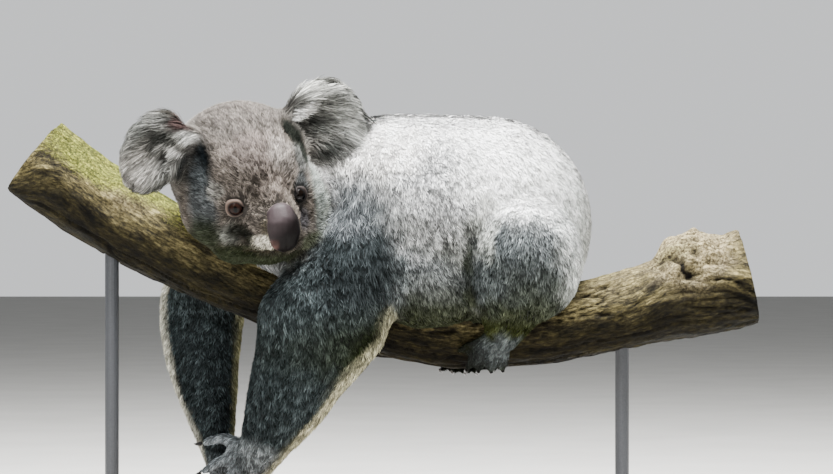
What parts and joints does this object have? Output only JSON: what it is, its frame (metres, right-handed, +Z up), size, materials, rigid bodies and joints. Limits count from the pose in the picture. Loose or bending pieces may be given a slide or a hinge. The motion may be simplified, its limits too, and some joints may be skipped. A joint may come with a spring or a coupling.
{
  "type": "koala, resting on a branch, still model",
  "caption": "Life-size still koala lying on a cut branch with its arms hanging round it, on a plain display stand.",
  "frame": {"origin": "centre of the stand base's underside", "axes": "+X along the stand and the branch towards the koala's rump, +Y to the side of the koala that its face is turned away from, +Z up"},
  "size_m": [0.7514, 0.2902, 0.4949],
  "materials": {
    "coat": "dense grey fur, paler on the back",
    "pale_coat": "long pale fur",
    "bare_skin": "bare leathery nose skin, satin",
    "eye": "wet brown eye",
    "claw_horn": "dark horn, satin",
    "bark": "rough bark with moss, sawn ends",
    "stand_wood": "black stain, satin",
    "stand_steel": "black powder coat"
  },
  "bodies": {
    "root": {"claw_foot_left_2": "claw_horn", "claw_foot_left_3": "claw_horn", "claw_foot_left_4": "claw_horn", "claw_foot_left_5": "claw_horn", "claw_foot_right_2": "claw_horn", "claw_foot_right_3": "claw_horn", "claw_foot_right_4": "claw_horn", "claw_foot_right_5": "claw_horn", "claw_hand_left_1": "claw_horn", "claw_hand_left_2": "claw_horn", "claw_hand_left_3": "claw_horn", "claw_hand_left_4": "claw_horn", "claw_hand_left_5": "claw_horn", "claw_hand_right_1": "claw_horn", "claw_hand_right_2": "claw_horn", "claw_hand_right_3": "claw_horn", "claw_hand_right_4": "claw_horn", "claw_hand_right_5": "claw_horn", "ear_left": "pale_coat", "ear_right": "pale_coat", "eye_left": "eye", "eye_right": "eye", "foot_left": "coat", "foot_right": "coat", "forearm_left": "coat", "forearm_right": "coat", "hand_left": "coat", "hand_right": "coat", "head": "coat", "neck": "coat", "nose": "bare_skin", "perch_branch": "bark", "shank_left": "coat", "shank_right": "coat", "stand_base": "stand_wood", "stand_rod_head": "stand_steel", "stand_rod_rump": "stand_steel", "thigh_left": "coat", "thigh_right": "coat", "trunk": "coat", "upper_arm_left": "coat", "upper_arm_right": "coat"}
  },
  "joints": []
}
